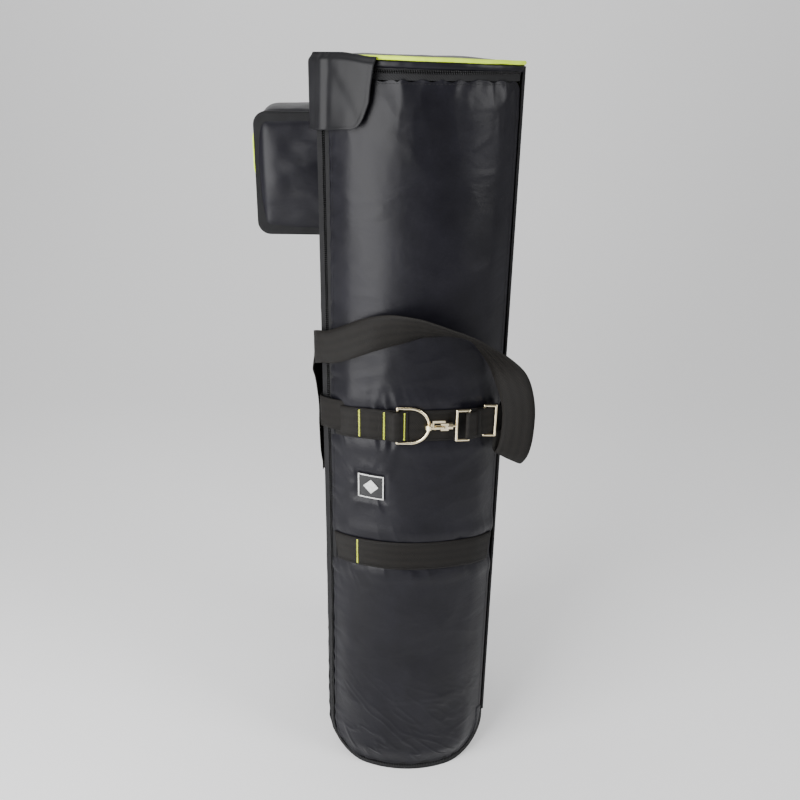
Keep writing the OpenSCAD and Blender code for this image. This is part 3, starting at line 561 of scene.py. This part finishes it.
# ------------------------------------------------------------------ lid
def plan_path(off, n=60):
    """closed plan outline of the case, moved inwards, counter-clockwise seen from above"""
    q = math.asin((A - off) / (R - off)) if (A - off) < (R - off) else 1
    P = [((R - off) * math.sin(t), CY - (R - off) * math.cos(t)) for t in np.linspace(-q, q, n)]
    y0 = P[-1][1]; r = max(12 - off, 2)
    P += [(A - off, y) for y in np.linspace(y0 + 4, 107 - off - r, 24)]
    P += [(A - off - r + r * math.cos(t), 107 - off - r + r * math.sin(t)) for t in np.linspace(0.1, math.pi / 2, 8)]
    P += [(x, 107 - off) for x in np.linspace(A - off - r - 4, -(A - off - r - 4), 30)]
    P += [(-(A - off - r) + r * math.cos(t), 107 - off - r + r * math.sin(t)) for t in np.linspace(math.pi / 2, math.pi - 0.1, 8)]
    P += [(-(A - off), y) for y in np.linspace(107 - off - r, y0 + 4, 24)]
    return np.array(P)
tilt = lambda x: -0.021 * np.asarray(x)
base = plan_path(1.4); c0 = np.array([0.0, 2.0])
rings = np.concatenate([[1.0, 1.0], np.linspace(0.985, 0.02, 36)])
v = []
for p in base:
    for k, r in enumerate(rings):
        q = c0 + (p - c0) * r
        d = np.linalg.norm(p - c0) * (1 - r)
        z = 907.6 if k == 0 else 912.6 + 3.4 * sm(0, 60, d) ** 0.8
        if k > 1:
            z += (0.9 * fbm(q[0] / 60, q[1] / 60, 81, 2) + 0.5 * ridge(q[0] / 40, q[1] / 40, 83)) * sm(0, 40, d)
            z += 0.5 * math.sin(math.atan2(q[1] - c0[1], q[0] - c0[0]) * 46 + 2 * float(vnoise(q[0] / 20, q[1] / 20, 84))) * math.exp(-d / 8)
        v.append((q[0], q[1], z + tilt(q[0])))
n = len(rings)
f = grid_faces(len(base), n, True)
f.append([i * n + n - 1 for i in range(len(base))])
ls = obj_from("lid_skin", v, f, NYL)
solid(ls, 1.0, -1)
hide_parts("lid_cover", "lid_crown"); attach(ls, "case")
pp = plan_path(-0.2)
L = np.concatenate([[0], np.cumsum(np.linalg.norm(np.diff(pp, axis=0), axis=1))]); tq = np.linspace(0, L[-1], 420)
pc = np.stack([np.interp(tq, L, pp[:, 0]), np.interp(tq, L, pp[:, 1]), np.zeros(len(tq))], -1)
pc[:, 2] = 912.5 + tilt(pc[:, 0]) + 0.35 * vnoise(tq / 18, tq * 0, 85)
lp = tube("lid_cord", pc, 2.1, LIME, 14, True)
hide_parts("lid_piping"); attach(lp, "case")
# folded cloth strip under the cord that hides the top of the zip tape
vv = []
pk_ = plan_path(-0.1)
for i, (x, y) in enumerate(pk_):
    for h, o in ((910.6, 1.0), (908.4, 1.6), (905.6, 1.3), (903.4, 0.3)):
        w = math.sin(i * 1.9 + 2 * float(vnoise(i / 6, 0, 86))) * 0.25
        dirv = np.array([x, y - 10.0]); dirv /= np.linalg.norm(dirv)
        vv.append((x + dirv[0] * (o + w - 1.0), y + dirv[1] * (o + w - 1.0), h + tilt(x)))
lt = obj_from("lid_turn", np.array(vv), grid_faces(len(pk_), 4, True), NYL)
solid(lt, 0.7, 0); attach(lt, "case")
# underside of the lid
rings = np.linspace(1.0, 0.02, 24); base = plan_path(12.4); v = []
for p in base:
    for r in rings:
        q = c0 + (p - c0) * r
        v.append((q[0], q[1], TOP - 17.4 + 0.9 - float(quilt(q[0] + 94, q[1] + 94, 47, 47, 0.9))))
f = grid_faces(len(base), len(rings), True); f.append([i * len(rings) + len(rings) - 1 for i in range(len(base))])
li = obj_from("lid_inner", v, [q[::-1] for q in f], LINING)
solid(li, 0.8, 1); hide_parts("lid_lining"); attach(li, "case")
for nme in ("lid_foam", "pocket_foam"):
    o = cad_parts[nme]; o.data.materials.clear(); o.data.materials.append(PIPE)

# ------------------------------------------------------------------ zip
def coil_row(name, off, ztop, x_end, z_row, body, x_start, side):
    P = outline(off, ztop)
    C = on_front(P, 0.15); pl = []
    for p, d in along(C, 2.3, 0.6):
        nn = np.array([p[0], p[1] - CY, 0]); nn /= np.linalg.norm(nn)
        pl.append((p + nn * 0.0, np.cross(nn, d / np.linalg.norm(d)), nn))
    Ct = bow(np.linspace(s_of(x_start), s_of(x_end), 120), np.full(120, z_row), np.full(120, 0.15))
    for p, d in along(Ct, 2.3, 0.6):
        nn = np.array([p[0], p[1] - CY, 0]); nn /= np.linalg.norm(nn)
        pl.append((p, np.cross(nn, d / np.linalg.norm(d)), nn))
    o = place_many(name, pl, (1.75, 1.25, 1.9), COIL)
    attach(o, body); return o
cc = coil_row("coil_case", 6.45, 900.5, 103, 901.65, "case", -(A - 7.5), 1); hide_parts("zip_coil_case")
cd = coil_row("coil_door", 8.25, 899.0, 103, 899.85, "door", -(A - 9.5), -1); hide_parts("zip_coil_door")

# ------------------------------------------------------------------ bands
def band_path(c, x0=-92, x1=100, add=1.15, n=110):
    s = np.linspace(s_of(x0), s_of(x1), n)
    z = c + ARCH(s)
    h = np.maximum.reduce([door_h(s, z + k) for k in (-17, -9, 0, 9, 17)]) + add
    h = np.convolve(np.pad(h, 4, "edge"), np.ones(9) / 9, "valid")
    return s, z, h
band_h = {}
for nme, node, c in (("band_upper", "upper_band", B1), ("band_lower", "lower_band", B2)):
    s, z, h = band_path(c)
    band_h[c] = (s, z, h)
    # the last few mm tuck down to the cloth
    C = bow(s, z, h)
    o = ribbon(nme, C, np.tile([0, 0, 1.0], (len(C), 1)), WEBM, wav=0.25, seed=int(c))
    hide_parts(node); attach(o, "door")

def band_at(c, x, dz, add):
    s = s_of(x); S0, Z0, H0 = band_h[c]
    return bow(np.array(s), np.array(float(np.interp(s, S0, Z0)) + dz), np.array(float(np.interp(s, S0, H0)) + add))

# bartacks: dense zigzag stitches
pl = []
for (c, x, lift) in ((B1, -60, 1.0), (B1, -31.6, 2.7), (B1, -9.6, 2.9), (B2, -63.5, 1.0)):
    for k in range(38):
        z = -16.5 + 33 * k / 37
        p = band_at(c, x, z, lift); nn = np.array([p[0], p[1] - CY, 0]); nn /= np.linalg.norm(nn)
        tg = np.array([-nn[1], nn[0], 0]) * (1 if k % 2 else -1)
        pl.append((p, tg * 0.92 + np.array([0, 0, 0.36]), nn))
bt = place_many("tack_stitches", pl, (2.6, 0.75, 0.6), THREADL)
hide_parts("bartacks"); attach(bt, "door")
# keeper over the ring's bar
xs = [-38, -34, -30, -26, -23.4, -21.4, -19.8, -18, -16.2, -14.6, -12.6, -10, -8, -5.5]
ls_ = [0.0, 0.1, 0.3, 1.0, 2.6, 4.0, 4.7, 4.9, 4.7, 4.0, 2.4, 0.9, 0.4, 0.1]
Ck = smooth_path([band_at(B1, x, 0.3, 1.5 + l) for x, l in zip(xs, ls_)], 4)
rk = ribbon("keeper", Ck, np.tile([0, 0, 1.0], (len(Ck), 1)), WEBM, w=36.5, t=1.3)
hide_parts("ring_keeper"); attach(rk, "door")

# ------------------------------------------------------------------ flap over the corner
def flap():
    nu, nv = 84, 60
    wall = np.array([(-112.4, -38), (-113.4, -48), (-114.0, -57), (-113.2, -65)], float)
    front = np.array([[(R + 8.6) * math.sin(q), CY - (R + 8.6) * math.cos(q)] for q in np.linspace(-math.asin(106.5 / (R + 8.6)), -math.asin(40 / (R + 8.6)), 20)])
    plan = smooth_path(np.vstack([wall, front]), 6)
    L = np.concatenate([[0], np.cumsum(np.linalg.norm(np.diff(plan, axis=0), axis=1))])
    lx = lambda x: float(np.interp(x, plan[24:, 0], L[24:]))
    d = np.gradient(plan, axis=0); d /= np.linalg.norm(d, axis=1)[:, None]
    nrm = np.stack([d[:, 1], -d[:, 0]], -1)
    v, uv = [], []
    for i in range(nu):
        for j in range(nv):
            u, w = i / (nu - 1), j / (nv - 1)
            xr = float(np.interp(w * 71 + 843, [843, 846, 850, 856, 870, 887, 914], [-70, -62, -58.5, -55, -50, -48, -44]))
            l = u * lx(xr)
            zb = 845.6 - 2.2 * math.sin(math.pi * min(1, u * 1.15)) + 2.2 * float(sm(0.35, 0, u))
            zt = 918.4 - 17 * max(0, 1 - u / 0.3) ** 2 - 4.0 * float(sm(0.62, 1.0, u))
            z = zb + (zt - zb) * w
            px = np.array([np.interp(l, L, plan[:, k]) for k in (0, 1)]); n2 = np.array([np.interp(l, L, nrm[:, k]) for k in (0, 1)]); n2 /= np.linalg.norm(n2)
            x = px[0]
            h = 1.0 * float(sm(0.6, 1, u)) * (1 - 0.5 * w) + 0.6 * float(fbm(l / 20, z / 26, 91, 2))
            fold = l - lx(-101) - (z - 872) * 0.06
            h += 1.4 * math.exp(-(fold / 5.0) ** 2) - 0.7 * math.exp(-((fold - 9) / 4) ** 2)
            cr = ((x + 90) * 0.88 + (z - 903) * 0.47)
            cr2 = (x + 90) * -0.47 + (z - 903) * 0.88
            h += (-0.3 * math.exp(-(cr / 5.5) ** 2) + 0.2 * math.exp(-((cr - 9) / 6.5) ** 2)) * float(sm(6, -12, cr2))
            e = min((1 - u) * 66, w * 70)
            h += 0.35 * (1 - float(sm(2.6, 3.4, e)))
            # the top rolls over the lid's cord
            top = float(sm(0.86, 1.0, w)); h -= 4.4 * top ** 1.8
            v.append((px[0] + n2[0] * h, px[1] + n2[1] * h, z - 0.4 * top)); uv.append((l, z))
    o = obj_from("flap_leaf", np.array(v), grid_faces(nu, nv), VIN, uv=uv)
    solid(o, 1.2, -1)
    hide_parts("flap_side", "flap_front", "flap_binding")
    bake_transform(o)
    return o
flap()

# ------------------------------------------------------------------ shoulder strap
Zv = (0, 0, 1)
tail_anchor = [[arc_p(-80, 3, 525.3), Zv], [arc_p(-87, 3.6, 525), Zv], [arc_p(-93.5, 5, 524.6), Zv], [arc_p(-100, 5.3, 524), Zv], [arc_p(-105, 4.8, 523.5), Zv], [(-109.4, -58.5, 522), Zv], [(-109.3, -48, 517), Zv], [(-108.8, -33, 508), (0, 0.35, 1)],
  [(-108.7, -25, 490), (0, 1, 1)], [(-108.7, -24, 470), (0, 1, 0.2)], [(-108.7, -25, 448), (0, 1, 0)], [(-108.9, -25, 436), (0, 1, 0)]]
tail_out = [[(-110.65, -25.2, 434), (0, 1, 0)], [(-110.8, -25.4, 444), (0, 1, 0)], [(-111.7, -27.4, 458), (0.03, 1, 0)], [(-112.1, -30, 474), (0.05, 1, 0)], [(-112, -32, 500), (0.06, 1, 0)], [(-111.9, -33, 530), (0.08, 1, 0)],
  [(-112.6, -33, 560), (0.2, 1, 0.1)], [(-115.5, -37, 581), (0.1, 0.6, 0.8)], [(-116.2, -47, 596), Zv], [(-114.4, -60, 602), Zv]]
front_run = [[(-107, -72.2, 606.4), Zv], [(-95, -82.5, 609.5), Zv], [(-75, -97, 620), Zv], [(-50, -109.6, 633), Zv], [(-25, -117, 641), (0, -0.24, 0.97)], [(0, -122.5, 644.5), (0, -0.6, 0.8)], [(18, -123.7, 643), (0, -0.76, 0.65)],
  [(34, -123, 640.5), (0, -0.86, 0.5)], [(48, -122, 637.5), (0.1, -0.92, 0.4)], [(60, -120, 633), (0.25, -0.93, 0.3)]]
loop_run = [[(75, -113.5, 623), (0.5, -1, 0.2)], [(90, -104, 608), (0.85, -0.85, 0.2)], [(105, -97, 588), (1, -0.4, 0)], [(116, -95, 566), (1, -0.1, 0)], [(122, -95, 540), (1, 0, 0)],
  [(122.5, -95, 512), (1, 0, 0)], [(120, -95, 492), (1, 0, -0.05)], [(116, -92.5, 480), (1, 0, -0.2)], [(113, -86.5, 475), (0.95, 0, -0.55)], [(112, -80.5, 480), (0.6, 0, -1)], [(115, -77.5, 494), (0.3, 0, -1)], [(117, -77.5, 510), (0.1, 0, -1)], [(113, -81.5, 522), (0, 0, -1)], [(104.1, -85.9, 525.4), (0, 0, -1)]]
def strap(name, run, node, body, n=8, cup=0.4, wav=0.35, seed=0, taper=0):
    C = smooth_path([p[0] for p in run], n); W = smooth_path([p[1] for p in run], n)
    o = ribbon(name, C, W, WEBM, cup=cup, wav=wav, seed=seed, taper=taper)
    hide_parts(node)
    if body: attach(o, body)
    return o
strap("strap_sewn_end", [[arc_p(-71, 0.3, 525.6), Zv], [arc_p(-79, 1.7, 525.4), Zv]] + tail_anchor[1:], "strap_anchor", "door", cup=0, wav=0.1, seed=1)
sl_ = strap("strap_over_front", tail_out + front_run + loop_run, "strap_front", None, seed=3, taper=30)
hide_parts("strap_tail", "strap_loop")
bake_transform(sl_)

# strap end round the eye, stitched
c6, s6 = math.cos(math.radians(6)), math.sin(math.radians(6)); c24, s24 = math.cos(math.radians(24)), math.sin(math.radians(24))
E0 = np.array([18.5 + 46 * c6, -111.6 + 46 * s6, 525.5])
def ef(x, y, z=0): return E0 + np.array([x * c24 - y * s24, x * s24 + y * c24, z])
path = [ef(44, 2.95), ef(36, 2.95), ef(29, 3.0), ef(22, 2.95), ef(16, 2.9), ef(10, 2.9), ef(4, 2.95)]
path += [ef(2.95 * math.cos(t), 2.95 * math.sin(t)) for t in np.linspace(1.3, 5.0, 9)]
path += [ef(4, -2.9), ef(8, -2.3), ef(10.5, -0.2), ef(13, 0.6), ef(16.5, 0.9)]
Ce = smooth_path(path, 3)
o = ribbon("strap_eye_end", Ce, np.tile([0, 0, 1.0], (len(Ce), 1)), WEBM, w=33, t=1.6)
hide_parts("strap_end"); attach(o, "d_ring")
pl = []
for x in (12.2, 14.6):
    for z in np.arange(-14.5, 15, 2.6):
        pl.append((ef(x, -0.55 if x < 13 else 0.0, z), np.array([0, 0, 1.0]), np.array([s24, -c24, 0])))
o = place_many("strap_stitches", pl, (2.0, 0.6, 0.7), THREAD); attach(o, "d_ring")

# ------------------------------------------------------------------ pocket
def soft_box(name, lo, hi, r, crown, n, mat, seed, open_pos_x=True):
    lo, hi = np.array(lo, float), np.array(hi, float); c, hsz = (lo + hi) / 2, (hi - lo) / 2
    v, f, idx = [], [], {}
    def vert(key, p):
        if key not in idx: idx[key] = len(v); v.append(p)
        return idx[key]
    t = np.linspace(-1, 1, n + 1)
    for ax in range(3):
        for sg in (-1, 1):
            if open_pos_x and ax == 0 and sg == 1: continue
            a1, a2 = (ax + 1) % 3, (ax + 2) % 3
            for i in range(n):
                for j in range(n):
                    q = []
                    for (ii, jj) in ((i, j), (i + 1, j), (i + 1, j + 1), (i, j + 1)):
                        k = [0, 0, 0]; k[ax] = sg * n; k[a1] = 2 * ii - n; k[a2] = 2 * jj - n
                        q.append(vert(tuple(k), np.array(k, float) / n))
                    f.append(tuple(q) if sg > 0 else tuple(reversed(q)))
    out = []
    for p in v:
        w = p * hsz
        inner = np.clip(w, -(hsz - r), hsz - r)
        if open_pos_x and w[0] > 0: inner[0] = w[0]
        d = w - inner; L = np.linalg.norm(d)
        nn = d / L if L > 1e-9 else np.sign(p) * (np.abs(p) > 0.999)
        pt = inner + nn * r
        cr = 0.0
        for ax in range(3):
            a1, a2 = (ax + 1) % 3, (ax + 2) % 3
            e1 = 1 - abs(p[a1]) ** 1.7; e2 = 1 - abs(p[a2]) ** 1.7
            if a1 == 0: e1 = 1 if p[0] > 0 else 1 - abs(p[0]) ** 4
            if a2 == 0: e2 = 1 if p[0] > 0 else 1 - abs(p[0]) ** 4
            cr += abs(nn[ax]) * e1 * e2 * crown[ax]
        W = c + pt
        wr = 1.3 * float(fbm((W[0] + W[1] * 0.7) / 34, W[2] / 34, seed, 2)) + 1.3 * max(0, float(ridge(W[0] / 60 + W[2] / 90, W[2] / 18 + W[1] / 50, seed + 4)) - 0.1) * float(sm(-150, -112, W[0]))
        out.append(W + nn * (cr + wr * min(1, cr * 0.6)))
    o = obj_from(name, np.array(out), f, mat)
    return o
ps = soft_box("pocket_skin", (-178.5, -27.0, 726.5), (-107.3, 93, 858), 16, (4.6, 13.0, 6.5), 40, NYL, 101)
solid(ps, 1.3, -1)
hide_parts("pocket_sleeve", "pocket_front", "pocket_back"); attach(ps, "case")
def pocket_cord(y, name, mat, peek):
    zs = np.linspace(738, 846, 60)
    xs = -179.6 - peek * sm(786, 798, zs) * sm(840, 828, zs)
    P = [(x, y, 855.0) for x in np.linspace(-109, -166, 12)] + [(-174, y, 852.0)] + [(x, y, z) for x, z in zip(xs[::-1], zs[::-1])] + [(-174, y, 732.0)] + [(x, y, 729.0) for x in np.linspace(-166, -109, 12)]
    return tube(name, smooth_path(P, 3), 1.3, mat, 10)
o = pocket_cord(-12.0, "pocket_cord_front", LIME, 2.6)
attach(o, "case"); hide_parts("pocket_piping")
o = pocket_cord(76.0, "pocket_cord_back", LIME, 2.6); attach(o, "case")

# ------------------------------------------------------------------ stitching rows
pl = []
for off, ztop in ((12.6, ZDOOR - 8),):
    P = outline(off, ztop, right_end=60); P[:, 0] += np.where((P[:, 0] < 0) & (P[:, 1] > CR), OFFL(P[:, 1]) - 9.6, 0); C = on_front(P, surf_h(P[:, 0], P[:, 1], 0.15))
    for p, d in along(C, 4.0):
        nn = np.array([p[0], p[1] - CY, 0]); nn /= np.linalg.norm(nn); pl.append((p, d, nn))
x = np.linspace(-90, 101, 200); zz_ = np.full(200, ZDOOR - 3.0)
C = bow(s_of(x), zz_, surf_h(x, zz_, 0.15))
for p, d in along(C, 4.0):
    nn = np.array([p[0], p[1] - CY, 0]); nn /= np.linalg.norm(nn); pl.append((p, d, nn))
z = np.linspace(80, ZDOOR - 8, 400); x = np.full(400, 101.2)
C = bow(s_of(x), z, surf_h(x, z, 0.15))
for p, d in along(C, 4.0):
    nn = np.array([p[0], p[1] - CY, 0]); nn /= np.linalg.norm(nn); pl.append((p, d, nn))
for c in (B1, B2):
    for dz in (-17.2, 17.2):
        C = np.array([band_at(c, x, dz, 0.9) for x in np.linspace(-90, 98, 90)])
        for p, d in along(C, 3.6):
            nn = np.array([p[0], p[1] - CY, 0]); nn /= np.linalg.norm(nn); pl.append((p, d, nn))
o = place_many("seam_stitches", pl, (2.7, 0.5, 0.45), THREAD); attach(o, "door")

# ------------------------------------------------------------------ carried-over pieces
def give(names, mat, bevel=0.0):
    for nme in names:
        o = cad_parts[nme]; o.data.materials.clear(); o.data.materials.append(mat)
        if bevel:
            b = o.modifiers.new("edge", "BEVEL"); b.width = bevel / 1000; b.segments = 2; b.limit_method = "ANGLE"; b.angle_limit = math.radians(40)
give(["d_ring", "hook_eye", "tri_glide"], GOLD)
give(["snap_hook", "snap_trigger"], GOLD, 0.35)
give(["side_slider", "side_pull", "top_slider", "top_pull"], STEEL, 0.12)
give(["badge_plate"], BDRK, 0.2); give(["badge_rim", "badge_emblem"], BMET, 0.15)
give(["zip_tape_case", "zip_tape_door"], ZTAPE)
give(["hinge_piping", "back_piping"], PIPE)
give(["pocket_lining"], LINING)

# ------------------------------------------------------------------ stage and light
def stage_plane(name, verts, faces, mat):
    m = bpy.data.meshes.new(name); m.from_pydata(verts, [], faces); m.update()
    o = bpy.data.objects.new(name, m); col.objects.link(o); m.materials.append(mat)
    m.polygons.foreach_set("use_smooth", [True] * len(m.polygons)); return o
fl = M("floor_white"); fl.set(Base_Color=(0.9, 0.9, 0.9, 1), Roughness=0.9)
n1 = fl.n("ShaderNodeTexNoise", Scale=3.0); rr = fl.ramp(n1, "Fac", 0.3, 0.7, (0.66, 0.66, 0.665), (0.70, 0.70, 0.705)); fl.l(rr, "Color", fl.b, "Base Color")
fl.b.inputs["Emission Color"].default_value = (1, 1, 1, 1); fl.b.inputs["Emission Strength"].default_value = 0.34
prof = [(-4.0, 0.0), (1.2, 0.0)] + [(1.2 + 1.2 * math.sin(t), 1.2 - 1.2 * math.cos(t)) for t in np.linspace(0.15, math.pi / 2, 12)] + [(2.4, 5.0)]
vs = [(x, y, z - 0.0004) for x in (-5, 5) for (y, z) in prof]
k = len(prof)
stage_plane("floor", vs, [(i, k + i, k + i + 1, i + 1) for i in range(k - 1)], fl.m)

w = bpy.data.worlds.new("studio"); bpy.context.scene.world = w; w.use_nodes = True
w.node_tree.nodes["Background"].inputs[0].default_value = (1, 1, 1, 1); w.node_tree.nodes["Background"].inputs[1].default_value = 0.25

def area(name, loc, target, size, power, sy=None):
    l = bpy.data.lights.new(name, "AREA"); l.energy = power; l.size = size
    if sy: l.shape = "RECTANGLE"; l.size_y = sy
    o = bpy.data.objects.new(name, l); col.objects.link(o)
    from mathutils import Vector
    d = Vector(target) - Vector(loc); o.location = loc
    o.rotation_euler = d.to_track_quat("-Z", "Y").to_euler(); return o
area("key_left", (-0.92, -0.95, 0.80), (0, 0, 0.60), 1.05, 49, 1.5)
area("fill_right", (1.35, -0.75, 1.25), (0.05, 0, 0.75), 0.55, 19, 1.0)
area("top_soft", (-0.2, -0.1, 2.4), (0, 0, 0.5), 1.0, 14)
